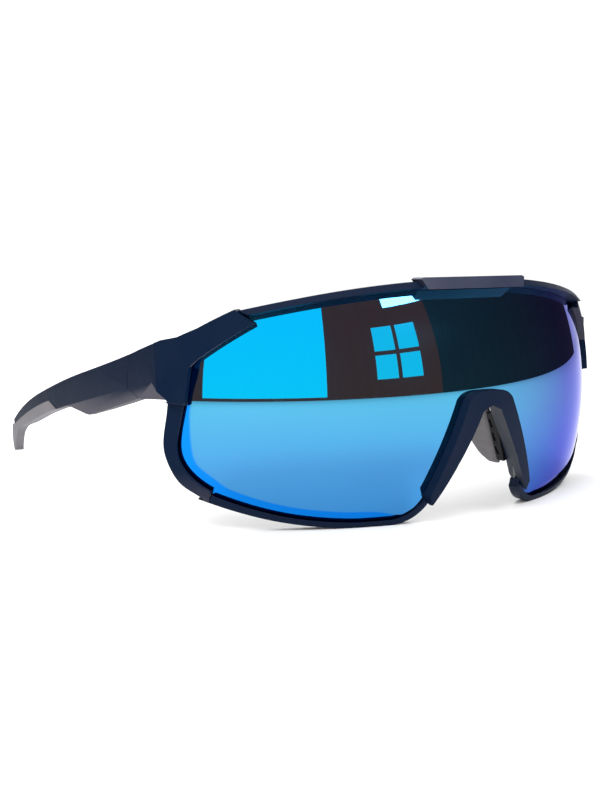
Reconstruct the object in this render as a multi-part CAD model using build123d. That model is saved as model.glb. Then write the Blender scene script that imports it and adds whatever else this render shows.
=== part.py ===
from build123d import *

import os
from math import asin, cos, radians, sin, sqrt, tan

# Wraparound sport sunglasses, temples open, standing on the lower rims and the temple tips.
# Axes: X across the face, Y from front to back, Z up. The wearer's right side is -X.
# The design is drawn with the lens apex at Y = 0; ORIGIN_Y moves the origin under the middle.

os.makedirs("parts", exist_ok=True)

# ---- driving dimensions, millimetres and degrees ----
ORIGIN_Y = 93.95         # distance from the lens apex back to the middle of the overall length

WRAP_R = 88.0            # horizontal radius of the lens face at its fullest height
FACE_RV = 83.5           # vertical radius of the lens face
FULL_Z = 27.9            # height of the fullest point of the lens face
LENS_T = 2.0             # lens thickness
SEAT = 0.08              # clearance between the lens faces and the groove walls
GAP = 0.35               # gap between bodies that move

FRAME_IN = -3.2          # frame depth behind the lens face
WING_OUT = 2.0           # how far the wings stand in front of the lens face
STEM_OUT = 0.7           # the same for the stems below them
RIM_OUT = 0.55           # for the lower rims
BROW_OUT = 3.2           # for the brow bar
CAP_OUT = 4.1            # for the cap over the middle of the brow bar
NOSE_OUT = 2.9           # for the nose frame
NOSE_IN = -5.2           # depth of the nose frame behind the lens face

BROW_TOP = 59.9          # top of the brow bar at the middle
CAP_HALF = 16.8          # half width of the cap
CAP_IN = 0.4             # back of the cap in front of the lens face
CAP_TOP = 60.4

SIDE_X = -72.6           # outer face of the side at SIDE_Y
SIDE_Y = 36.0
TOE_IN = 4.62            # inward lean of the temples, seen from above
SIDE_T = 4.6             # thickness at the hinge
ARM_T = 3.6              # thickness of the temple at its middle
TIP_PROUD = 0.25         # rubber tip outside the temple's faces

HINGE_X, HINGE_Y = -67.1, 56.4
HINGE_Z0, HINGE_Z1 = 33.6, 40.2
KNUCKLE_R = 1.7
KNUCKLE_GAP = 0.12       # axial play between knuckles
PIN_R = 0.8
PIN_PLAY = 0.05          # radial clearance of the moving knuckle on the screw
LEAF_T = 0.9
HEAD_R, HEAD_H = 1.35, 0.6

PAD_TILT = 23.5          # lean of the nose pads, seen from the front
PAD_SPLAY = 6.0          # opening of the nose pads towards the face, seen from above
PAD_T = 2.2              # thickness of the nose pads
CLIP_T = 1.7             # thickness of the carriers that hold them


def mirrored(points):
    """The same points on the other side of the middle plane, in reverse order."""
    return [(-x, z) for x, z in reversed(points)]


def face_radius(z):
    """Distance of the lens face from the vertical wrap axis at height z."""
    return WRAP_R - FACE_RV + sqrt(FACE_RV**2 - (z - FULL_Z) ** 2)


def wrap_point(angle, z, out):
    """Point at a wrap angle and height, out in front of the lens face."""
    rho = face_radius(z) + out
    return Vector(rho * sin(radians(angle)), WRAP_R - rho * cos(radians(angle)), z)


def shell(inner, outer):
    """Ring-shaped wall between two distances in front of the lens face."""
    centre = (WRAP_R - FACE_RV, FULL_Z)
    reach = 33
    front = CenterArc(centre, FACE_RV + outer, -reach, 2 * reach)
    back = CenterArc(centre, FACE_RV + inner, -reach, 2 * reach)
    ends = [Line(front @ t, back @ t) for t in (0, 1)]
    wall = Plane.XZ * make_face([front, back] + ends)
    return Pos(0, WRAP_R, 0) * revolve(wall, Axis.Z, 360)


def front_prism(*edges):
    """Front-view outline carried through the whole depth of the front."""
    outline = Plane.XZ.offset(20) * make_face(list(edges))
    return extrude(outline, amount=100, dir=(0, 1, 0))


def on_face(points, out):
    """Front-view points (x, z) on a surface in front of the lens face, as (tan of wrap angle, z)."""
    return [(tan(asin(x / (face_radius(z) + out))), z) for x, z in points]


def spokes_prism(*chains):
    """Outline whose walls all point at the wrap axis; a chain is (Spline or Polyline, points)."""
    faces = []
    for y in (-12.0, 62.0):
        reach = WRAP_R - y
        edges = [make(*[(u * reach, z) for u, z in points]) for make, points in chains]
        faces.append(Plane.XZ.offset(-y) * make_face(edges))
    return loft(faces, ruled=True)


def side_prism(*edges):
    """Side-view outline (y, z) carried across the right side."""
    outline = Plane.YZ.offset(-90) * make_face(list(edges))
    return extrude(outline, amount=60, dir=(1, 0, 0))


def plan_prism(points):
    """Top-view outline (x, y) carried through the whole height."""
    outline = Pos(0, 0, -5) * make_face(Polyline(*points, close=True))
    return extrude(outline, amount=80)


def side_x(y, depth=0.0):
    """X of the right side, a depth inside its outer face."""
    return SIDE_X + depth + (y - SIDE_Y) * sin(radians(TOE_IN)) / cos(radians(TOE_IN))


# ---- lens ----

NOTCH = [(-22.5, 0.7), (-19.8, 1.7), (-17.7, 4.0), (-15.7, 7.0)]
NOTCH_TOP = [(-6.0, 29.6), (-4.0, 31.1), (0, 31.7)]
LENS_SIDE = [(-58.2, 51.0), (-65.4, 45.2), (-69.2, 35.5), (-69.6, 20.5), (-69.0, 15.9), (-66.0, 11.8),
             (-62.2, 8.5)]
LENS_FLOOR = [(-62.2, 8.5), (-56.0, 5.5), (-49.0, 3.1), (-40.5, 1.5), (-31.5, 0.7), (-22.5, 0.7)]


def brow_line(x):
    """Height of the brow bar's top edge."""
    return BROW_TOP - 0.00156 * x**2 - 1.05e-7 * x**4


def lens_chains():
    """Closed front outline of the lens: brow edge, nose arch, and both sides."""
    half_brow = [(-58.2, 51.0)] + [(x, brow_line(x) - 1.3) for x in (-45, -30, -15)]
    brow = half_brow + [(0, brow_line(0) - 1.3)] + mirrored(half_brow)
    chains = [(Spline, brow), (Spline, NOTCH_TOP + mirrored(NOTCH_TOP)[1:])]
    for flip in (list, mirrored):
        chains.append((Spline, flip(LENS_SIDE)))
        chains.append((Spline, flip(LENS_FLOOR)))
        chains.append((Spline, flip(NOTCH)))
        chains.append((Polyline, flip([NOTCH[-1], NOTCH_TOP[0]])))
    return [(make, on_face(points, 0)) for make, points in chains]


def make_lens():
    return spokes_prism(*lens_chains()) & shell(-LENS_T, 0)


def lens_groove():
    """The lens thickened by the seat clearance, for cutting the grooves."""
    return spokes_prism(*lens_chains()) & shell(-LENS_T - SEAT, SEAT)


# ---- brow bar and its cap ----

WING_SEAM = [(-53.0, 50.6), (-57.9, 54.6)]


def brow_section(angle):
    """Bar section at one wrap angle: sloped facet in front, groove wall behind."""
    top = brow_line(WRAP_R * sin(radians(angle)))
    corners = [
        (0.0, top - 2.1), (BROW_OUT, top - 1.5), (BROW_OUT - 0.7, top),
        (FRAME_IN + 0.6, top - 0.1), (FRAME_IN - 0.4, top - 0.7), (FRAME_IN - 0.4, top - 3.6),
    ]
    points = [wrap_point(angle, z, out) for out, z in corners]
    return make_face(Polyline(*points, close=True))


def make_brow_bar():
    bar = loft([brow_section(angle) for angle in range(-45, 46, 5)])
    keep = front_prism(Polyline(*WING_SEAM, (-57.9, 70), (57.9, 70), *mirrored(WING_SEAM), close=True))
    return bar & keep


def make_brow_cap():
    low = BROW_TOP - 2.4
    outline = Polyline((-CAP_HALF + 1.4, low), (-CAP_HALF, CAP_TOP - 0.4), (-CAP_HALF + 0.8, CAP_TOP),
                       (CAP_HALF - 0.8, CAP_TOP), (CAP_HALF, CAP_TOP - 0.4), (CAP_HALF - 1.4, low),
                       close=True)
    return front_prism(outline) & shell(CAP_IN, CAP_OUT)


# ---- side frame: wing, stem, hook and endpiece ----

STEM_OUTER = [(-70.4, 32.0), (-71.1, 24.0), (-71.0, 17.3), (-69.5, 12.6), (-66.9, 9.9), (-62.9, 7.2)]
STEM_INNER = [(-62.2, 10.2), (-66.4, 13.2), (-68.2, 17.2), (-68.3, 24.0), (-67.3, 31.2)]
WING_INNER = [(-67.3, 31.2), (-66.9, 34.5), (-65.9, 40.4), (-65.0, 41.6), WING_SEAM[0]]
WING_OUTER = [(-57.1, 53.8), (-64.3, 49.6), (-68.1, 47.5), (-71.2, 46.1), (-74.6, 44.9), (-74.6, 37.6),
              (-71.8, 33.4), (-71.0, 32.0)]


def wing_and_stem():
    chains = [
        (Spline, on_face(STEM_OUTER, STEM_OUT)),
        (Spline, on_face(STEM_INNER, 0)),
        (Polyline, on_face(WING_INNER, STEM_OUT)),
        (Polyline, on_face(WING_OUTER, WING_OUT)),
    ]
    joined = []
    for (make, points), (_, after) in zip(chains, chains[1:] + chains[:1]):
        joined.append((make, points))
        if points[-1] != after[0]:
            joined.append((Polyline, [points[-1], after[0]]))
    inside = plan_prism([(side_x(-20), -20), (side_x(39), 39), (0, 39), (0, -20)])
    below = front_prism(Polyline((-90, -5), (-90, 33.8), (-60, 30.6), (-60, -5), close=True))
    set_back = below & shell(STEM_OUT, WING_OUT + 1)
    return (spokes_prism(*joined) & shell(FRAME_IN, WING_OUT) & inside) - set_back


CREASE = [(39.6, 36.6), (102.4, 25.7)]


def facet_cutter():
    """Wedge outside the lower facet, which leans inward below the crease."""
    lean = 1.7
    drop = 4.3
    sections = []
    for y in (20, 125):
        slope = (CREASE[1][1] - CREASE[0][1]) / (CREASE[1][0] - CREASE[0][0])
        z = CREASE[0][1] + slope * (y - CREASE[0][0])
        corners = [(side_x(y), z), (side_x(y, 2 * lean), z - 2 * drop), (side_x(y, -6), z - 2 * drop),
                   (side_x(y, -6), z)]
        sections.append(make_face(Polyline(*[(x, y, h) for x, h in corners], close=True)))
    return loft(sections, ruled=True)


def endpiece():
    """Block behind the wing that reaches back to the hinge line."""
    outline = Polyline((31.5, 47.9), (36.4, 46.1), (45.3, 44.4), (55.2 - GAP, 42.4), (57.3 - GAP, 33.9),
                       (52.0 - GAP, 31.3), (33.0, 32.6), close=True)
    plan = plan_prism([(side_x(34.2, 1.0), 34.2), (side_x(SIDE_Y), SIDE_Y), (side_x(60), 60),
                       (side_x(60, SIDE_T), 60), (side_x(43, SIDE_T + 0.6), 43), (-64.6, 33.0),
                       (-66.4, 31.6)])
    return side_prism(outline) & plan


def hinge_pocket():
    """Room for the knuckles in the plastic on both sides of the hinge line."""
    height = HINGE_Z1 - HINGE_Z0 + HEAD_H + 2 * GAP
    return Pos(HINGE_X, HINGE_Y, HINGE_Z0 - GAP) * Cylinder(
        KNUCKLE_R + GAP, height, align=(Align.CENTER, Align.CENTER, Align.MIN))


# ---- lower rim ----

RIM_OUTER = [(-62.9, 7.2), (-57.4, 4.9), (-49.1, 2.3), (-40.7, 0.75), (-32.0, 0.0)]
RIM_CORNER = [(-23.5, 0.0), (-19.0, 1.3), (-15.0, 5.2)]
RIM_INNER = [(-32.0, 1.35), (-40.7, 2.2), (-49.1, 3.9), (-57.0, 6.6), (-62.2, 9.0)]
RIM_NOSE = [(-15.0, 7.6), (-19.4, 2.9), (-23.5, 1.35)]


def make_lower_rim():
    edges = [
        Spline(*RIM_OUTER), Line(RIM_OUTER[-1], RIM_CORNER[0]), Spline(*RIM_CORNER),
        Line(RIM_CORNER[-1], RIM_NOSE[0]), Spline(*RIM_NOSE), Line(RIM_NOSE[-1], RIM_INNER[0]),
        Spline(*RIM_INNER), Line(RIM_INNER[-1], RIM_OUTER[0]),
    ]
    return front_prism(*edges) & shell(FRAME_IN + 0.4, RIM_OUT)


# ---- nose frame ----

NOSE_OUTER = [(-16.4, 7.8), (-7.0, 30.2)]
NOSE_FOOT = [(-16.6, 7.2), (-15.8, 4.9)]
NOSE_FRONT = [(-12.9, 6.0), (-8.9, 14.7), (-5.9, 20.8), (-2.7, 27.3)]
NOSE_FLARE = 20.0        # degrees that the inner walls open towards the face
NOSE_SPREAD = 2.6        # how far the legs widen behind the lens


def nose_opening():
    """Tapered space inside the V, wider towards the face."""
    side = [(-15.3, 1.0)] + NOSE_FRONT
    outline = make_face([Polyline(*side), Polyline(NOSE_FRONT[-1], (0, 28.5), (2.7, 27.3)),
                         Polyline(*mirrored(side)), Line((15.3, 1.0), (-15.3, 1.0))])
    front = Plane.XZ.offset(NOSE_OUT + 0.5) * outline
    return extrude(front, amount=-16, taper=-NOSE_FLARE)


def nose_arch(spread, inner, outer):
    """Solid arch with its legs moved outwards, between two distances in front of the lens face."""
    crown = [(NOSE_OUTER[1][0] - spread, 30.2), (-4.9 - spread / 2, 31.9 + spread / 2), (0, 32.5 + spread)]
    edges = [Spline(*crown, *mirrored(crown[:2]))]
    feet = [(x - spread / 3, z) for x, z in NOSE_FOOT]
    for flip in (list, mirrored):
        edges.append(Polyline(*flip([crown[0]] + feet)))
    edges.append(Line(feet[1], mirrored(feet)[0]))
    return front_prism(*edges) & shell(inner, outer)


def make_nose_frame():
    front = nose_arch(0.0, -LENS_T - 1.0, NOSE_OUT)
    rear = nose_arch(NOSE_SPREAD, NOSE_IN, -LENS_T - SEAT)
    return front + rear - nose_opening()


# ---- nose pads and their carriers ----

PAD_FRONT = [(-1.9, 8.8), (1.9, -8.8)]
PAD_BACK = [(1.9, -8.8), (6.2, -9.0), (10.4, -5.6), (11.6, -0.8), (8.4, 5.4), (2.5, 8.6), (-1.9, 8.8)]
CLIP_REACH = 3.4         # from the pad's front edge forward into the leg
CLIP_BITE = 0.8          # from the pad's front edge back into the pad
CLIP_INSET = 1.6         # shorter than the pad by this at each end
SLOT_W, SLOT_H, SLOT_PITCH = 0.9, 2.4, 4.2


def pad_plane():
    """Plane of the right pad: local X back along the pad, local Y up, normal towards the nose."""
    back = Vector(-sin(radians(PAD_SPLAY)), cos(radians(PAD_SPLAY)), 0)
    up = Vector(sin(radians(PAD_TILT)), 0.0, cos(radians(PAD_TILT)))
    return Plane(origin=(-12.0, 9.75, 18.7), x_dir=back, z_dir=back.cross(up))


def make_nose_pad():
    petal = pad_plane() * make_face([Polyline(*PAD_FRONT), Spline(*PAD_BACK)])
    return extrude(petal, amount=PAD_T / 2, both=True)


def make_pad_carrier():
    (top_x, top_y), (low_x, low_y) = PAD_FRONT
    high, low = top_y - CLIP_INSET, low_y + CLIP_INSET
    outline = Polyline((top_x - CLIP_REACH, high), (top_x + CLIP_BITE, high),
                       (low_x + CLIP_BITE, low), (low_x - CLIP_REACH, low), close=True)
    clip = extrude(pad_plane() * make_face(outline), amount=CLIP_T / 2, both=True)
    lean = (low_x - top_x) / (low_y - top_y)
    slot = Box(SLOT_W, SLOT_H, 2 * CLIP_T)
    return clip - [pad_plane() * Pos(lean * y - SLOT_W, y, 0) * slot for y in (-SLOT_PITCH, 0, SLOT_PITCH)]


# ---- hinge ----

def knuckle(z0, z1, bore):
    height = z1 - z0
    grip = (Align.CENTER, Align.CENTER, Align.MIN)
    barrel = Cylinder(KNUCKLE_R, height, align=grip) - Cylinder(bore, height, align=grip)
    return Pos(HINGE_X, HINGE_Y, z0) * barrel


def knuckle_heights():
    """Edges of the three knuckles, bottom to top."""
    third = (HINGE_Z1 - HINGE_Z0) / 3
    return [HINGE_Z0 + third * n for n in range(4)]


def leaf_plate(y0, y1, z0, z1):
    """Flat leaf let into the inner face of the side."""
    middle = (y0 + y1) / 2
    x = side_x(middle, SIDE_T - 0.15)
    plate = Box(LEAF_T, y1 - y0, z1 - z0)
    return Pos(x, middle, (z0 + z1) / 2) * Rot(0, 0, -TOE_IN) * plate


def make_front_leaf():
    z0, z1, z2, z3 = knuckle_heights()
    leaf = leaf_plate(46.5, HINGE_Y - KNUCKLE_R - 2 * GAP, z0 + 0.3, z3 - 0.3)
    for low, high in ((z0, z1), (z2, z3)):
        web = leaf_plate(HINGE_Y - KNUCKLE_R - 1.2, HINGE_Y - 0.9, low, high)
        leaf = leaf + web + knuckle(low, high, PIN_R)
    bore = Pos(HINGE_X, HINGE_Y, z0) * Cylinder(PIN_R, 20)
    return leaf - bore


def make_rear_leaf():
    z0, z1, z2, z3 = knuckle_heights()
    low, high = z1 + KNUCKLE_GAP, z2 - KNUCKLE_GAP
    leaf = leaf_plate(HINGE_Y + KNUCKLE_R + GAP, 66.5, z0 + 0.3, z3 - 0.3)
    leaf = leaf + leaf_plate(HINGE_Y + 0.9, HINGE_Y + KNUCKLE_R + 0.8, low, high)
    leaf = leaf + knuckle(low, high, PIN_R)
    bore = Pos(HINGE_X, HINGE_Y, z0) * Cylinder(PIN_R + PIN_PLAY, 20)
    return leaf - bore


def make_hinge_screw():
    low = (Align.CENTER, Align.CENTER, Align.MIN)
    shank = Pos(HINGE_X, HINGE_Y, HINGE_Z0) * Cylinder(PIN_R, HINGE_Z1 - HINGE_Z0, align=low)
    head = Pos(HINGE_X, HINGE_Y, HINGE_Z1) * Cylinder(HEAD_R, HEAD_H, align=low)
    slot = Pos(HINGE_X, HINGE_Y, HINGE_Z1 + HEAD_H / 2) * Box(3 * HEAD_R, 0.35, HEAD_H, align=low)
    return shank + head - slot


# ---- temple and its rubber tip ----

ARM_TOP = [(55.2, 42.4), (80.5, 37.8), (107.9, 33.0), (140.5, 26.3), (159.3, 21.8), (176.1, 16.5),
           (188.3, 11.3)]
ARM_FOOT = [(52.0, 31.3), (80.6, 25.5), (97.5, 22.3), (100.4, 22.3), (114.3, 23.6), (128.1, 21.1)]
TIP_TOP = [(136.6, 23.0), (160.5, 17.7), (187.9, 9.4)]
TIP_END = [(189.6, 9.6), (190.7, 6.4), (190.3, 2.4), (188.8, 0.0)]
TIP_HEEL = [(187.2, 0.0), (186.0, 3.0), (183.6, 6.6)]
TIP_FOOT = [(183.6, 6.6), (178.6, 9.4), (168.4, 11.9), (150.6, 16.2), (128.1, 21.1)]


def arm_plan(proud):
    """Plan outline of the right arm, thinning backwards; proud widens it on both faces."""
    stations = [(50, SIDE_T), (62, SIDE_T), (90, ARM_T), (150, ARM_T - 0.4), (196, ARM_T - 1.2)]
    outer = [(side_x(y, -proud), y) for y, _ in stations]
    inner = [(side_x(y, t + proud), y) for y, t in reversed(stations)]
    return plan_prism(outer + inner)


def make_temple():
    strip = Spline(*TIP_TOP)
    edges = [
        Line((57.3, 33.9), ARM_TOP[0]), Spline(*ARM_TOP), Line(ARM_TOP[-1], TIP_TOP[-1]), strip,
        Line(TIP_TOP[0], ARM_FOOT[-1]), Polyline(*ARM_FOOT), Line(ARM_FOOT[0], (57.3, 33.9)),
    ]
    arm = side_prism(*edges) & arm_plan(0)
    return arm - facet_cutter() - hinge_pocket()


def make_tongue():
    """Thin tail of the temple inside the rubber tip."""
    outline = Polyline((131.0, 22.0), (140.0, 22.6), (162.0, 17.6), (180.0, 12.0), (184.5, 9.2),
                       (180.0, 10.2), (168.0, 13.6), (150.6, 18.4), close=True)
    plan = plan_prism([(side_x(125, 1.0), 125), (side_x(192, 1.0), 192), (side_x(192, 2.2), 192),
                       (side_x(125, 2.2), 125)])
    return side_prism(outline) & plan


def make_temple_tip():
    edges = [
        Line((128.1, 21.1), TIP_TOP[0]), Spline(*TIP_TOP), Line(TIP_TOP[-1], TIP_END[0]),
        Spline(*TIP_END), Line(TIP_END[-1], TIP_HEEL[0]), Spline(*TIP_HEEL), Spline(*TIP_FOOT),
    ]
    return side_prism(*edges) & arm_plan(TIP_PROUD)


# ---- assembly ----

def right_side_parts(groove, brow_bar, nose_frame):
    """Every piece of the right side, by name without its side."""
    front_leaf = make_front_leaf()
    rear_leaf = make_rear_leaf()
    screw = make_hinge_screw()
    side_frame = wing_and_stem() + (endpiece() - facet_cutter() - hinge_pocket())
    tongue = make_tongue()
    pad = make_nose_pad()
    parts = {
        "hinge_front_leaf": front_leaf,
        "hinge_rear_leaf": rear_leaf,
        "hinge_screw": screw,
        "side_frame": side_frame - groove - front_leaf - brow_bar,
        "lower_rim": make_lower_rim() - groove - side_frame - nose_frame,
        "temple": make_temple() - rear_leaf + tongue,
        "temple_tip": make_temple_tip() - make_temple() - tongue,
        "nose_pad": pad,
        "nose_pad_carrier": make_pad_carrier() - pad - nose_frame,
    }
    return parts


def all_parts():
    groove = lens_groove()
    brow_bar = make_brow_bar() - groove
    nose_frame = make_nose_frame() - groove
    parts = {
        "lens": make_lens(),
        "brow_bar": brow_bar,
        "brow_cap": make_brow_cap() - brow_bar - groove,
        "nose_frame": nose_frame,
    }
    for name, part in right_side_parts(groove, brow_bar, nose_frame).items():
        parts[f"{name}_right"] = part
        parts[f"{name}_left"] = mirror(part, about=Plane.YZ)
    return parts


for name, part in all_parts().items():
    export_step(Pos(0, -ORIGIN_Y, 0) * part, f"parts/{name}.step")
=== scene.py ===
"""Looks of the wraparound sport sunglasses: mirrored lens, satin navy frame, grey rubber, studio.

Lengths are in metres in the CAD frame: the front faces -Y, up is +Z, the wearer's left is at +X.
"""
import math

import bmesh
import bpy
from mathutils import Matrix, Vector
from mathutils.geometry import delaunay_2d_cdt


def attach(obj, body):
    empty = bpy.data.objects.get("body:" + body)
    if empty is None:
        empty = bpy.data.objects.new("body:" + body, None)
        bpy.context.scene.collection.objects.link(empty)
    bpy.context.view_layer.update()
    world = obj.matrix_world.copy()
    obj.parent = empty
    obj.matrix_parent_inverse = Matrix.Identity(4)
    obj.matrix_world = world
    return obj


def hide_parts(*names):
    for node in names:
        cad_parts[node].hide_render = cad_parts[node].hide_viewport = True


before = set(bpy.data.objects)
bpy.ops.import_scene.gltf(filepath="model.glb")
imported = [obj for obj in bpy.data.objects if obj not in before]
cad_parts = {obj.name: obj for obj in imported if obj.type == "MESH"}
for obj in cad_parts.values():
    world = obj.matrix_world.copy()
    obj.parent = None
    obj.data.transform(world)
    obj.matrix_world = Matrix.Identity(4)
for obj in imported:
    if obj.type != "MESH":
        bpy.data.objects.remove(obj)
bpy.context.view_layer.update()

SIDES = {"right": -1, "left": 1}    # the wearer's sides, each with the sign of x there


# ---- lens ----

APEX_Y = -0.09395           # y of the lens face's foremost point
WRAP_R = 0.088              # radius of the lens face round the head
RISE_R = 0.0835             # and up and down
UPRIGHT_Z = 0.0279          # height where the lens face stands upright
LENS_T = 0.002
LENS_STEP = 0.0015          # spacing of the points inside the lens mesh
MERGE = 1e-6                # CAD vertices closer than this are one
ON_FACE = 4e-5              # CAD vertices closer than this to the lens face belong to it
OUTLINE_TOLERANCE = 1e-7    # of the triangulation
EDGE_CLEAR = 0.6            # steps kept between an outline and the points inside it
EDGE_SMOOTHING = 2          # smoothing rounds of the lens edge
BAND_SMOOTHING = 12         # and of the bevelled band's inner line

BAND_W = 0.0035             # width of the bevelled band, from the lens edge, seen from the front
BAND_LEAST = 0.12           # part of that width left at the nose notch and at the brow
BAND_DROP = 0.00042         # how far the band falls back at the lens edge
BAND_RINGS = ((0.0006, 0.84), (0.00025, 1.0), (0.0, 1.8))   # distance from the edge, part of drop
NOTCH_X, FROM_NOTCH_X = 0.018, 0.027    # the band widens between these distances from the middle
BROW_Z, FROM_BROW_Z = 0.052, 0.040      # and between these heights, from the brow down
LOOK_OUT = 0.0004           # step past the lens edge that gives the outward direction


def face_point(x, z, out=0.0):
    """Point on the lens face above (x, z) of the front view, moved out along the radius."""
    rho = WRAP_R - RISE_R + math.sqrt(RISE_R**2 - (z - UPRIGHT_Z) ** 2)
    y = APEX_Y + WRAP_R - math.sqrt(rho**2 - x**2)
    return Vector((x, y, z)) + out * face_normal(x, z)


def face_normal(x, z):
    """Outward normal of the lens face at (x, z) of the front view."""
    rise = (z - UPRIGHT_Z) / RISE_R
    level = math.sqrt(1 - rise**2)
    rho = WRAP_R - RISE_R + RISE_R * level
    side = x / rho
    return Vector((side * level, -math.sqrt(1 - side**2) * level, rise))


def lens_outline():
    """Closed front-view outline of the CAD lens, clockwise, from the edge of its front face."""
    cad = bmesh.new()
    cad.from_mesh(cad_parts["lens"].data)
    bmesh.ops.remove_doubles(cad, verts=cad.verts, dist=MERGE)
    on_face = {v for v in cad.verts if (v.co - face_point(v.co.x, v.co.z)).length < ON_FACE}
    front = {f for f in cad.faces if all(v in on_face for v in f.verts)}
    neighbours = {}
    for edge in cad.edges:
        if sum(f in front for f in edge.link_faces) == 1:
            a, b = edge.verts
            neighbours.setdefault(a, []).append(b)
            neighbours.setdefault(b, []).append(a)
    points = [Vector((v.co.x, v.co.z)) for v in chained(neighbours)]
    cad.free()
    return points if signed_area(points) < 0 else points[::-1]


def chained(neighbours):
    """Vertices of a closed loop in order, from the two neighbours of each."""
    start = min(neighbours, key=lambda v: v.co.z)
    loop = [start, neighbours[start][0]]
    while True:
        after = next(v for v in neighbours[loop[-1]] if v is not loop[-2])
        if after is start:
            return loop
        loop.append(after)


def resample(points, step):
    """Evenly spaced points round a closed outline."""
    closed = points + points[:1]
    lengths = [(b - a).length for a, b in zip(closed, closed[1:])]
    count = round(sum(lengths) / step)
    spacing = sum(lengths) / count
    out = []
    i = 0
    travelled = 0.0
    for n in range(count):
        target = n * spacing
        while travelled + lengths[i] < target:
            travelled += lengths[i]
            i += 1
        out.append(closed[i].lerp(closed[i + 1], (target - travelled) / lengths[i]))
    return out


def smoothed(points, rounds):
    """Closed outline with small kinks evened out."""
    for _ in range(rounds):
        behind = points[-1:] + points[:-1]
        ahead = points[1:] + points[:1]
        points = [(a + 2 * p + b) / 4 for a, p, b in zip(behind, points, ahead)]
    return points


def signed_area(points):
    """Area inside a closed outline, negative if it runs clockwise."""
    return sum(a.x * b.y - b.x * a.y for a, b in zip(points, points[1:] + points[:1])) / 2


def inward(points):
    """Unit inward direction at each point of a clockwise closed outline."""
    out = []
    for a, b in zip(points[-1:] + points[:-1], points[1:] + points[:1]):
        along = (b - a).normalized()
        out.append(Vector((along.y, -along.x)))
    return out


def inside(point, outline):
    """True if a point is inside a closed outline."""
    hit = False
    for a, b in zip(outline, outline[1:] + outline[:1]):
        if (a.y > point.y) != (b.y > point.y):
            if point.x < a.x + (point.y - a.y) * (b.x - a.x) / (b.y - a.y):
                hit = not hit
    return hit


def interior_points(outline, step):
    """Grid points inside an outline, kept clear of it."""
    low_x, low_y = (min(p[i] for p in outline) for i in (0, 1))
    high_x, high_y = (max(p[i] for p in outline) for i in (0, 1))
    points = []
    for i in range(1, int((high_x - low_x) / step)):
        for j in range(1, int((high_y - low_y) / step)):
            p = Vector((low_x + i * step, low_y + j * step))
            if inside(p, outline) and min((p - q).length for q in outline) > EDGE_CLEAR * step:
                points.append(p)
    return points


def filled(outline, step):
    """Triangulated outline: points (the outline's own first), and faces."""
    ring = [(i, (i + 1) % len(outline)) for i in range(len(outline))]
    points = outline + interior_points(outline, step)
    plane, _, faces, *_ = delaunay_2d_cdt(points, ring, [], 1, OUTLINE_TOLERANCE)
    return plane, [tuple(f) for f in faces]


def band_width(point):
    """Width of the bevelled band at a point of the lens edge: next to none at notch and brow."""
    from_notch = (abs(point.x) - NOTCH_X) / (FROM_NOTCH_X - NOTCH_X)
    from_brow = (BROW_Z - point.y) / (BROW_Z - FROM_BROW_Z)
    return BAND_W * max(min(from_notch, from_brow, 1.0), BAND_LEAST)


def band_normal(point, into, width):
    """Face normal at the lens edge, leaning outwards by the slope of the band."""
    outer = point - into * LOOK_OUT
    outwards = (face_point(outer.x, outer.y) - face_point(point.x, point.y)).normalized()
    lean = math.atan2(BAND_DROP, width)
    return face_normal(point.x, point.y) * math.cos(lean) + outwards * math.sin(lean)


def lens_points(edge, into, plane):
    """Points of the lens shell: front face, rings of the band, back edge, back face."""
    points = [face_point(p.x, p.y) for p in plane]
    for step, fall in BAND_RINGS:
        ring = [p + n * step for p, n in zip(edge, into)]
        points += [face_point(p.x, p.y, -fall * BAND_DROP) for p in ring]
    points += [face_point(p.x, p.y, -LENS_T) for p in edge + plane]
    return [tuple(p) for p in points]


def strips(starts, count):
    """Quads between neighbouring closed rings of points, each given by its first index."""
    return [(near + i, near + (i + 1) % count, far + (i + 1) % count, far + i)
            for near, far in zip(starts, starts[1:])
            for i in range(count)]


def make_lens():
    """Shield lens as one closed shell: mirrored front with a bevelled band, smoke-tinted back."""
    edge = smoothed(resample(lens_outline(), LENS_STEP / 2), EDGE_SMOOTHING)
    into = inward(edge)
    inner = smoothed([p + n * band_width(p) for p, n in zip(edge, into)], BAND_SMOOTHING)
    plane, faces = filled(inner, LENS_STEP)
    count = len(edge)
    starts = [0] + [len(plane) + i * count for i in range(len(BAND_RINGS) + 2)]
    back = [tuple(starts[-1] + v for v in reversed(f)) for f in faces]
    mesh = bpy.data.meshes.new("shield_lens")
    mesh.from_pydata(lens_points(edge, into, plane), [], faces + strips(starts, count) + back)
    mesh.update()
    lens = add_piece("shield_lens", mesh)
    set_lens_normals(mesh, len(faces), [face_normal(p.x, p.y) for p in plane],
                     [band_normal(p, n, (q - p).length) for p, n, q in zip(edge, into, inner)])
    marks = mesh.attributes.new("band", "FLOAT", "POINT")
    for v in range(starts[1], starts[-2]):
        marks.data[v].value = 1.0
    paint(lens, mirror_coat(), smoke_tint())
    mirrored = len(faces) + len(BAND_RINGS) * count
    for index, polygon in enumerate(mesh.polygons):
        polygon.material_index = int(index >= mirrored)
    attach(lens, "front")
    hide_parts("lens")


def set_lens_normals(mesh, face_count, face_normals, band_normals):
    """Exact normals on the front face and on the band, the mesh's own elsewhere."""
    count = len(band_normals)
    normals = [Vector((0, 0, 0))] * len(mesh.loops)
    for polygon in mesh.polygons:
        polygon.use_smooth = True
    for index in range(face_count + count):
        for loop in mesh.polygons[index].loop_indices:
            vertex = mesh.loops[loop].vertex_index
            if index < face_count:
                normals[loop] = face_normals[vertex]
            elif vertex < count:
                normals[loop] = band_normals[vertex]
            else:
                normals[loop] = band_normals[vertex - len(face_normals)]
    mesh.normals_split_custom_set([tuple(n) for n in normals])


# ---- nose pads ----

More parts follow.
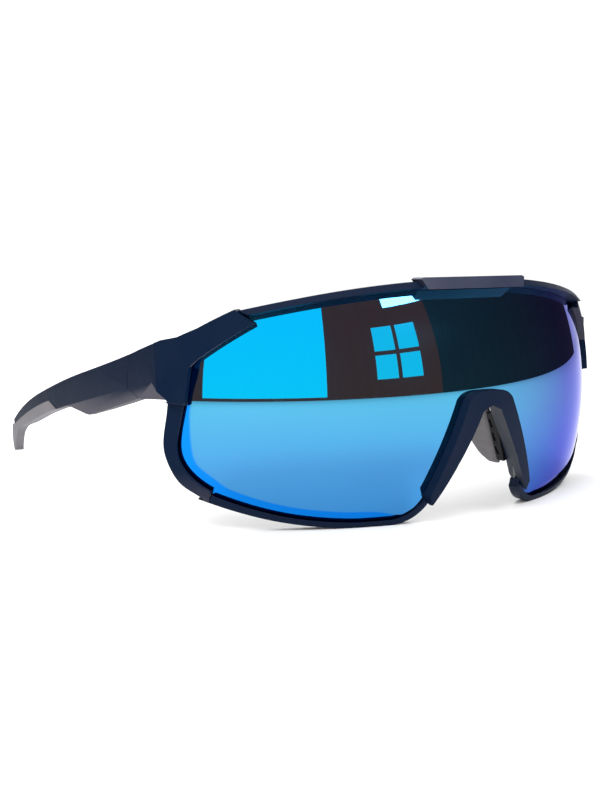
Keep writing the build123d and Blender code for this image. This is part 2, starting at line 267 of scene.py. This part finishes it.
PAD_OUTLINE = [(-1.7, 8.2), (-0.9, 3.0), (0.6, -3.0), (1.9, -8.2), (4.0, -8.9), (6.4, -8.6),
               (9.4, -6.4), (11.1, -3.0), (11.4, 0.2), (10.0, 3.4), (7.6, 6.0), (4.4, 8.0),
               (0.4, 8.8)]  # back along the pad and up along it, in millimetres
PAD_AT = Vector((0.0120, APEX_Y + 0.00975, 0.0187))
PAD_TILT, PAD_SPLAY = math.radians(23.5), math.radians(6.0)
PAD_T = 0.0022
PAD_ROUND = 0.0016          # how far in from its outline the pad thins out
PAD_CURVE_STEPS = 8
PAD_EDGE_STEP = 0.00045     # spacing of the mesh points along the outline
PAD_STEP = 0.0006           # and inside it
HOLLOW_DEPTH, HOLLOW_FADE = 0.00011, 0.004
GROOVES = (-0.0044, -0.0016, 0.0012, 0.0040)    # heights of the grooves along the pad
GROOVE_DEPTH, GROOVE_W, GROOVE_FADE = 0.00016, 0.00035, 0.003


def curve_through(points, steps):
    """Closed smooth curve through points, as more points."""
    out = []
    count = len(points)
    for i in range(count):
        a, b, c, d = (points[(i + k) % count] for k in (-1, 0, 1, 2))
        for n in range(steps):
            t = n / steps
            out.append(0.5 * (2 * b + (c - a) * t + (2 * a - 5 * b + 4 * c - d) * t**2
                              + (3 * b - a - 3 * c + d) * t**3))
    return out


def pad_place(side, u, v, w):
    """Point of a nose pad: u back along it, v up along it, w out of it towards the nose."""
    back = Vector((math.sin(PAD_SPLAY), math.cos(PAD_SPLAY), 0))
    up = Vector((-math.sin(PAD_TILT), 0, math.cos(PAD_TILT)))
    nose = up.cross(back)
    up = back.cross(nose)
    p = PAD_AT + back * u + up * v + nose * w
    return (p.x * side, p.y, p.z)


def pad_heights(point, depth):
    """Heights of the pad's nose side and back, depth in from the outline."""
    half = PAD_T / 2 * math.sqrt(1 - max(1 - depth / PAD_ROUND, 0.0) ** 2)
    hollow = HOLLOW_DEPTH * min(depth / HOLLOW_FADE, 1.0) ** 2
    groove = GROOVE_DEPTH * min(depth / GROOVE_FADE, 1.0)
    groove *= sum(math.exp(-((point.y - v) / GROOVE_W) ** 2) for v in GROOVES)
    return half - hollow - groove, -half


def make_nose_pad(side):
    """Soft petal with thinned, rounded edges, a slight hollow and grooves on the nose side."""
    outline = [Vector((u, v)) / 1000 for u, v in PAD_OUTLINE]
    loop = resample(curve_through(outline, PAD_CURVE_STEPS), PAD_EDGE_STEP)
    plane, faces = filled(loop, PAD_STEP)
    fronts = []
    backs = []
    for p in plane:
        front, back = pad_heights(p, min((p - q).length for q in loop))
        fronts.append(pad_place(SIDES[side], p.x, p.y, front))
        backs.append(pad_place(SIDES[side], p.x, p.y, back))
    count = len(plane)
    ring = len(loop)
    behind = [v if v < ring else v - ring + count for v in range(count)]
    back_faces = [tuple(behind[v] for v in reversed(f)) for f in faces]
    mesh = bpy.data.meshes.new(f"pad_{side}")
    mesh.from_pydata(fronts + backs[ring:], [], faces + back_faces)
    turned = bmesh.new()
    turned.from_mesh(mesh)
    bmesh.ops.recalc_face_normals(turned, faces=turned.faces)
    turned.to_mesh(mesh)
    turned.free()
    for polygon in mesh.polygons:
        polygon.use_smooth = True
    pad = add_piece(f"petal_{side}", mesh)
    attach(pad, "front")
    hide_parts(f"nose_pad_{side}")
    return pad


# ---- pieces ----

WELD = 2e-6                 # CAD vertices closer than this are joined before bevelling
BEVEL_SEGMENTS = 3
BEVEL_ANGLE = math.radians(32)      # edges sharper than this are rounded
NORMAL_WEIGHT = 90


def add_piece(name, mesh):
    """New object in the scene."""
    piece = bpy.data.objects.new(name, mesh)
    bpy.context.scene.collection.objects.link(piece)
    return piece


def soften(node, width):
    """Rounds a CAD node's edges with modifiers; its own mesh stays as it is."""
    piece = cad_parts[node]
    weld = piece.modifiers.new("weld", "WELD")
    weld.merge_threshold = WELD
    bevel = piece.modifiers.new("bevel", "BEVEL")
    bevel.width = width
    bevel.segments = BEVEL_SEGMENTS
    bevel.limit_method = "ANGLE"
    bevel.angle_limit = BEVEL_ANGLE
    bevel.use_clamp_overlap = True
    for polygon in piece.data.polygons:
        polygon.use_smooth = True
    even = piece.modifiers.new("normals", "WEIGHTED_NORMAL")
    even.keep_sharp = True
    even.weight = NORMAL_WEIGHT
    return piece


def paint(piece, *materials):
    """Gives a piece these materials; slots are counted from 0 in this order."""
    piece.data.materials.clear()
    for material in materials:
        piece.data.materials.append(material)


# ---- materials ----

# Each lighter second colour of the navy, trim and black serves both for random clouding and as a
# painted highlight on faces that point up.
NAVY, NAVY_TONE_AND_HIGHLIGHT = (0.003, 0.009, 0.028), (0.008, 0.014, 0.034)
# The side pieces' underside colour is a lighter grey painted sheen on faces that point down.
SIDE_NAVY, SIDE_UNDER_SHEEN = (0.003, 0.010, 0.030), (0.062, 0.060, 0.080)
# The trim's underside colour is a darker painted shade on faces that point down.
TRIM, TRIM_TONE_AND_HIGHLIGHT, TRIM_UNDER_SHADE = (0.024, 0.030, 0.062), (0.052, 0.060, 0.095), (0.02, 0.022, 0.04)
BLACK, BLACK_TONE_AND_HIGHLIGHT = (0.006, 0.006, 0.008), (0.013, 0.013, 0.017)
RUBBER, RUBBER_LIGHT = (0.145, 0.140, 0.155), (0.18, 0.172, 0.188)
PAD_RUBBER, PAD_RUBBER_LIGHT = (0.135, 0.128, 0.135), (0.17, 0.16, 0.168)
STEEL_DARK, STEEL_LIGHT = (0.42, 0.42, 0.44), (0.62, 0.62, 0.63)
STEEL_LINES = (9000.0, 9000.0, 400.0)       # noise scale of the brushed lines on each axis
GRAIN_DEPTH = 0.00001       # of the satin plastic
PEBBLE_DEPTH = 0.00002      # of the rubber's skin
SMOKE, SMOKE_LIGHT = (0.010, 0.012, 0.016), (0.020, 0.022, 0.028)

# Mirror coat: colours up the lens, as a part of COAT_TOP and the colour there
COAT_TOP = 0.06
COAT_BLUE = ((0.0, (0.045, 0.24, 0.56)), (0.25, (0.060, 0.25, 0.53)), (0.52, (0.066, 0.32, 0.50)),
             (1.0, (0.060, 0.28, 0.56)))
# The violet colours are a painted reflection tint, standing in for the coat's colour shift at
# glancing views.
COAT_VIOLET = ((0.0, (0.05, 0.05, 0.42)), (0.45, (0.088, 0.105, 0.30)), (1.0, (0.09, 0.11, 0.32)))
COAT_CLOUD = (0.07, 0.38, 0.62)
COAT_GLANCE = (0.55, 0.55, 0.95)            # tint of the reflection at glancing angles
BAND_BLUE, BAND_VIOLET = (0.004, 0.20, 0.70), (0.10, 0.08, 0.36)
# The painted violet tint fades in between these x values, towards the wearer's left.
VIOLET_FROM_X, COAT_VIOLET_X, BAND_VIOLET_X = -0.004, 0.036, 0.045


class Nodes:
    """A material's node tree, with short calls to add and link nodes."""

    def __init__(self, name):
        self.material = bpy.data.materials.new(name)
        self.material.use_nodes = True
        self.tree = self.material.node_tree
        self.shader = self.tree.nodes["Principled BSDF"]

    def add(self, kind, inputs=None, **settings):
        """New node with its settings, and its inputs by name."""
        node = self.tree.nodes.new(kind)
        for key, value in settings.items():
            setattr(node, key, value)
        for key, value in (inputs or {}).items():
            self.put(node.inputs[key], value)
        return node

    def put(self, socket, value):
        """Links an input to an output, or gives it a value; a colour is given without alpha."""
        if isinstance(value, bpy.types.NodeSocket):
            self.tree.links.new(value, socket)
        elif socket.type == "RGBA":
            socket.default_value = (*value, 1.0)
        else:
            socket.default_value = value

    def set(self, **values):
        """Inputs of the shader, by name with _ for each space."""
        for key, value in values.items():
            self.put(self.shader.inputs[key.replace("_", " ")], value)

    def ramp(self, factor, stops):
        """Colour that runs through stops of (position, colour)."""
        node = self.add("ShaderNodeValToRGB", {"Fac": factor})
        elements = node.color_ramp.elements
        while len(elements) < len(stops):
            elements.new(0.5)
        for element, (position, colour) in zip(elements, stops):
            element.position = position
            element.color = (*colour, 1.0)
        return node.outputs["Color"]

    def place(self):
        """Place on the object."""
        return self.add("ShaderNodeTexCoord").outputs["Object"]

    def split(self, vector):
        """X, Y and Z of a vector, as outputs by name."""
        return self.add("ShaderNodeSeparateXYZ", {"Vector": vector}).outputs

    def noise(self, scale, detail, roughness=0.5):
        """Cloudy noise over the object."""
        node = self.add("ShaderNodeTexNoise", {"Vector": self.place(), "Scale": scale,
                                               "Detail": detail, "Roughness": roughness})
        return node.outputs["Fac"]

    def spread(self, value, low, high, start=0.3, end=0.7):
        """Value that runs from low to high while the input runs from start to end."""
        node = self.add("ShaderNodeMapRange", {"Value": value, "From Min": start, "From Max": end,
                                               "To Min": low, "To Max": high})
        return node.outputs["Result"]

    def bump(self, height, distance):
        """Normal of a surface that rises by distance where the height is 1."""
        node = self.add("ShaderNodeBump", {"Height": height, "Distance": distance})
        return node.outputs["Normal"]

    def mix(self, factor, a, b):
        """Colour between a and b."""
        node = self.add("ShaderNodeMix", data_type="RGBA")
        for key, value in (("Factor", factor), ("A", a), ("B", b)):
            self.put(node.inputs[key], value)
        return node.outputs["Result"]


def satin_plastic(name, base, light, painted_underside, roughness=0.42, level=0.07):
    """Satin plastic: fine grain and scuffs, lighter where randomly clouded, a painted highlight on
    faces that point up, and a painted underside colour on faces that point down.
    """
    nodes = Nodes(name)
    cloud = nodes.noise(90.0, detail=3.0)
    scuff = nodes.noise(260.0, detail=6.0, roughness=0.65)
    grain = nodes.noise(5200.0, detail=2.0, roughness=0.6)
    rise = nodes.split(nodes.add("ShaderNodeNewGeometry").outputs["Normal"])["Z"]
    colour = nodes.mix(nodes.spread(cloud, 0.0, 0.4), base, light)
    # Painted highlight: lighter where the face points up.
    colour = nodes.mix(nodes.spread(rise, 0.0, 0.8, start=0.3, end=0.8), colour, light)
    # Painted underside: a lighter sheen on the side pieces, a darker shade on the trim, no change
    # on the navy and black.
    colour = nodes.mix(nodes.spread(rise, 1.0, 0.0, start=-0.35, end=-0.15), colour, painted_underside)
    nodes.set(Base_Color=colour, Roughness=nodes.spread(scuff, roughness - 0.02, roughness + 0.03),
              Specular_IOR_Level=level, Normal=nodes.bump(grain, GRAIN_DEPTH))
    return nodes.material


def rubber(name, base, light):
    """Soft matte rubber with a fine pebbled skin."""
    nodes = Nodes(name)
    cloud = nodes.noise(140.0, detail=4.0)
    pebble = nodes.noise(3800.0, detail=3.0, roughness=0.6)
    nodes.set(Base_Color=nodes.mix(nodes.spread(cloud, 0.0, 1.0), base, light),
              Roughness=nodes.spread(cloud, 0.58, 0.72), Normal=nodes.bump(pebble, PEBBLE_DEPTH))
    return nodes.material


def hinge_steel():
    """Turned steel with fine brushed lines."""
    nodes = Nodes("hinge_steel")
    stretch = nodes.add("ShaderNodeMapping", {"Vector": nodes.place(), "Scale": STEEL_LINES})
    lines = nodes.add("ShaderNodeTexNoise", {"Vector": stretch.outputs["Vector"], "Scale": 1.0})
    lines = lines.outputs["Fac"]
    nodes.set(Base_Color=nodes.ramp(lines, ((0.35, STEEL_DARK), (0.7, STEEL_LIGHT))),
              Roughness=nodes.spread(lines, 0.22, 0.38), Metallic=1.0)
    return nodes.material


def mirror_coat():
    """Blue mirror coat with a deeper bevelled band; the violet towards the wearer's left is a
    painted tint standing in for the coat's colour shift at glancing views.
    """
    nodes = Nodes("mirror_coat")
    axes = nodes.split(nodes.place())
    height = nodes.spread(axes["Z"], 0.0, 1.0, start=0.0, end=COAT_TOP)
    # Painted tint: violet towards the wearer's left, in place of the coat's colour shift at
    # glancing views.
    painted_violet_side = nodes.spread(axes["X"], 0.0, 1.0, start=VIOLET_FROM_X, end=COAT_VIOLET_X)
    coat = nodes.mix(painted_violet_side, nodes.ramp(height, COAT_BLUE), nodes.ramp(height, COAT_VIOLET))
    cloud = nodes.noise(26.0, detail=2.0)
    coat = nodes.mix(nodes.spread(cloud, 0.0, 0.16), coat, COAT_CLOUD)
    # The same painted violet tint on the band.
    painted_violet_side = nodes.spread(axes["X"], 0.0, 1.0, start=VIOLET_FROM_X, end=BAND_VIOLET_X)
    band = nodes.mix(painted_violet_side, BAND_BLUE, BAND_VIOLET)
    mark = nodes.add("ShaderNodeAttribute", attribute_name="band").outputs["Fac"]
    in_band = nodes.spread(mark, 0.0, 1.0, start=0.0, end=0.15)
    smear = nodes.noise(180.0, detail=5.0, roughness=0.7)
    nodes.set(Base_Color=nodes.mix(in_band, coat, band), Metallic=1.0, Specular_Tint=COAT_GLANCE,
              Roughness=nodes.spread(smear, 0.012, 0.05, start=0.45, end=0.8))
    return nodes.material


def smoke_tint():
    """Dark grey polycarbonate of the lens seen from behind."""
    nodes = Nodes("smoke_tint")
    cloud = nodes.noise(40.0, detail=3.0)
    smear = nodes.noise(180.0, detail=5.0, roughness=0.7)
    nodes.set(Base_Color=nodes.mix(nodes.spread(cloud, 0.0, 1.0), SMOKE, SMOKE_LIGHT),
              Roughness=nodes.spread(smear, 0.05, 0.12, start=0.45, end=0.8))
    return nodes.material


def finish_pieces():
    """Bevels and materials of the CAD nodes that stay, then the lens and the nose pads."""
    navy = satin_plastic("navy_satin", NAVY, NAVY_TONE_AND_HIGHLIGHT, NAVY)
    sides = satin_plastic("navy_sides", SIDE_NAVY, NAVY_TONE_AND_HIGHLIGHT, SIDE_UNDER_SHEEN, level=0.03)
    trim = satin_plastic("navy_trim", TRIM, TRIM_TONE_AND_HIGHLIGHT, TRIM_UNDER_SHADE, roughness=0.34, level=0.4)
    black = satin_plastic("carrier_black", BLACK, BLACK_TONE_AND_HIGHLIGHT, BLACK)
    grey = rubber("grey_rubber", RUBBER, RUBBER_LIGHT)
    pad_grey = rubber("pad_rubber", PAD_RUBBER, PAD_RUBBER_LIGHT)
    steel = hinge_steel()
    looks = {"brow_bar": (navy, 0.0003), "brow_cap": (trim, 0.00025), "nose_frame": (navy, 0.0005)}
    for side in SIDES:
        looks[f"side_frame_{side}"] = (sides, 0.0004)
        looks[f"lower_rim_{side}"] = (navy, 0.0002)
        looks[f"temple_{side}"] = (sides, 0.0005)
        looks[f"temple_tip_{side}"] = (grey, 0.0007)
        looks[f"nose_pad_carrier_{side}"] = (black, 0.0002)
        looks[f"hinge_front_leaf_{side}"] = (steel, 0.0001)
        looks[f"hinge_rear_leaf_{side}"] = (steel, 0.0001)
        looks[f"hinge_screw_{side}"] = (steel, 0.0001)
    for node, (material, bevel_width) in looks.items():
        paint(soften(node, bevel_width), material)
    make_lens()
    for side in SIDES:
        paint(make_nose_pad(side), pad_grey)


# ---- studio ----

STAND = Vector((0, APEX_Y, 0.03))   # what the cards and the lamps are placed round
FLOOR_R, FLOOR_SIDES = 30.0, 64
FLOOR, FLOOR_CLOUD = (0.92, 0.92, 0.92), (0.9016, 0.9016, 0.9016)
WORLD_STRENGTH = 1.12
CARD_STEP, CARD_LEAST_STEPS = 5.0, 4    # degrees of a curved card's facets, and their least number
DARK = (0.05, 0.030, 0.030)
BROWN = (0.46, 0.045, 0.022)
SKY = (0.0, 0.95, 1.0)
WINDOW = (0.04, 1.0, 1.0)
LAMP_WHITE = (1.0, 0.97, 0.92)
WALL_LOW, WALL_HIGH, WALL_DISTANCE = -1.0, 62.0, 1.9
SKY_LOW, SKY_HIGH, WINDOW_DISTANCE = 0.3, 36.0, 1.5
WINDOW_AT, WINDOW_WIDTH, WINDOW_LOW, WINDOW_HIGH = 6.0, 18.5, 6.0, 25.5
MULLION = 1.6
LAMP_LOW, LAMP_HIGH, LAMP_DISTANCE = 32.5, 36.0, 1.3
BENCH_DARK = (0.012, 0.014, 0.02)
BENCH = [(-0.10, 0.03), (-1.6, 1.2), (-1.6, 2.4), (-0.10, 2.4)]
BENCH_Z = 0.0005
# Each lamp's name, azimuth, elevation, distance, size and power
LAMPS = (("key", -60, 55, 1.0, 0.7, 5.0),
         ("fill", 45, 40, 1.2, 0.9, 3.0),
         ("rim", 160, 50, 1.1, 0.6, 4.0))


def emitter(name, colour, strength=1.0):
    """Black surface that glows."""
    nodes = Nodes(name)
    nodes.set(Base_Color=(0, 0, 0), Emission_Color=colour, Emission_Strength=strength)
    return nodes.material


def direction(azimuth, elevation):
    """Unit vector; azimuth 0 points to the front (-Y) and turns towards +X."""
    a = math.radians(azimuth)
    e = math.radians(elevation)
    return Vector((math.sin(a) * math.cos(e), -math.cos(a) * math.cos(e), math.sin(e)))


def reflected_only(name, points, faces, material):
    """Stage piece that shows in reflections and nowhere else."""
    mesh = bpy.data.meshes.new(name)
    mesh.from_pydata(points, [], faces)
    piece = add_piece(name, mesh)
    paint(piece, material)
    piece.visible_camera = False
    piece.visible_diffuse = False
    piece.visible_shadow = False


def card(name, material, azimuth, width, low, high, distance):
    """Upright curved card round the object, between two elevations, seen only in reflections."""
    steps = max(CARD_LEAST_STEPS, round(width / CARD_STEP))
    points = []
    for i in range(steps + 1):
        turn = azimuth - width / 2 + width * i / steps
        for elevation in (low, high):
            ray = direction(turn, elevation)
            points.append(tuple(STAND + ray * (distance / math.hypot(ray.x, ray.y))))
    faces = [(2 * i, 2 * i + 2, 2 * i + 3, 2 * i + 1) for i in range(steps)]
    reflected_only(name, points, faces, material)


def make_floor():
    """Pale round floor, as bright as the sky behind it."""
    turns = [2 * math.pi * i / FLOOR_SIDES for i in range(FLOOR_SIDES)]
    corners = [(math.cos(turn) * FLOOR_R, math.sin(turn) * FLOOR_R, 0) for turn in turns]
    mesh = bpy.data.meshes.new("floor")
    mesh.from_pydata(corners, [], [tuple(range(FLOOR_SIDES))])
    nodes = Nodes("pale_floor")
    nodes.set(Base_Color=nodes.mix(nodes.noise(3.0, detail=4.0), FLOOR, FLOOR_CLOUD),
              Roughness=0.7, Specular_IOR_Level=0.0)
    floor = add_piece("floor", mesh)
    paint(floor, nodes.material)


def make_window():
    """Window of two by two panes between mullions."""
    glass = emitter("window", WINDOW, strength=1.5)
    width = (WINDOW_WIDTH - MULLION) / 2
    height = (WINDOW_HIGH - WINDOW_LOW - MULLION) / 2
    for i in range(2):
        for j in range(2):
            azimuth = WINDOW_AT + (i - 0.5) * (width + MULLION)
            low = WINDOW_LOW + j * (height + MULLION)
            card(f"pane_{i}{j}", glass, azimuth, width, low, low + height, WINDOW_DISTANCE)


def make_room():
    """Dark walls, a sky panel, a window, a ceiling lamp and a bench, only for reflections."""
    dark = emitter("wall_dark", DARK)
    brown = emitter("wall_brown", BROWN)
    for name, material, azimuth, width in (("brown_wall", brown, -30.5, 107),
                                           ("dark_wall", dark, 66, 86),
                                           ("side_wall", dark, -129, 90)):
        card(name, material, azimuth, width, WALL_LOW, WALL_HIGH, WALL_DISTANCE)
    sky = emitter("sky", SKY, strength=1.75)
    card("sky_panel", sky, -45.6, 46, SKY_LOW, SKY_HIGH, WINDOW_DISTANCE)
    make_window()
    lamp = emitter("lamp", LAMP_WHITE, strength=10.0)
    card("ceiling_lamp", lamp, 14, 20, LAMP_LOW, LAMP_HIGH, LAMP_DISTANCE)
    bench = [(x, y, BENCH_Z) for x, y in BENCH]
    reflected_only("bench", bench, [(0, 1, 2, 3)], emitter("bench_dark", BENCH_DARK))


def make_lamps():
    """Soft disc lights above the object, which show in no reflection."""
    for name, azimuth, elevation, distance, size, power in LAMPS:
        light = bpy.data.lights.new(name, "AREA")
        light.shape = "DISK"
        light.size = size
        light.energy = power
        lamp = bpy.data.objects.new(name, light)
        lamp.location = STAND + direction(azimuth, elevation) * distance
        lamp.rotation_euler = (STAND - lamp.location).to_track_quat("-Z", "Y").to_euler()
        lamp.visible_glossy = False
        bpy.context.scene.collection.objects.link(lamp)


def make_studio():
    """Floor, reflected room, even white surroundings and lamps."""
    make_floor()
    make_room()
    world = bpy.data.worlds.new("studio")
    world.use_nodes = True
    background = world.node_tree.nodes["Background"]
    background.inputs["Color"].default_value = (1.0, 1.0, 1.0, 1.0)
    background.inputs["Strength"].default_value = WORLD_STRENGTH
    bpy.context.scene.world = world
    make_lamps()
    bpy.context.scene.view_settings.view_transform = "Standard"


# ---- camera ----

CAMERA_AZIMUTH, CAMERA_ELEVATION = -38.83, 6.21
CAMERA_DISTANCE = 0.28768
CAMERA_TARGET = Vector((0, APEX_Y + 0.025, 0.030))
PAN, TILT, ROLL = -6.50, -0.41, -0.53
FOCAL = 47.96
CLIP_START = 0.01


def turned(a, b, degrees):
    """Two directions at right angles, both turned from a towards b."""
    angle = math.radians(degrees)
    return a * math.cos(angle) + b * math.sin(angle), b * math.cos(angle) - a * math.sin(angle)


def make_camera():
    """Camera on a sphere round its target, then panned, tilted and rolled in place."""
    back = direction(CAMERA_AZIMUTH, CAMERA_ELEVATION)
    forward = -back
    right = forward.cross(Vector((0, 0, 1))).normalized()
    up = right.cross(forward)
    forward, right = turned(forward, right, PAN)
    forward, up = turned(forward, up, TILT)
    right, up = turned(right, up, ROLL)
    place = CAMERA_TARGET + back * CAMERA_DISTANCE
    data = bpy.data.cameras.new("camera")
    data.lens = FOCAL
    data.clip_start = CLIP_START
    camera = bpy.data.objects.new("camera", data)
    camera.matrix_world = Matrix((
        (right.x, up.x, -forward.x, place.x),
        (right.y, up.y, -forward.y, place.y),
        (right.z, up.z, -forward.z, place.z),
        (0, 0, 0, 1)))
    bpy.context.scene.collection.objects.link(camera)
    bpy.context.scene.camera = camera


finish_pieces()
make_studio()
make_camera()

bpy.context.view_layer.update()
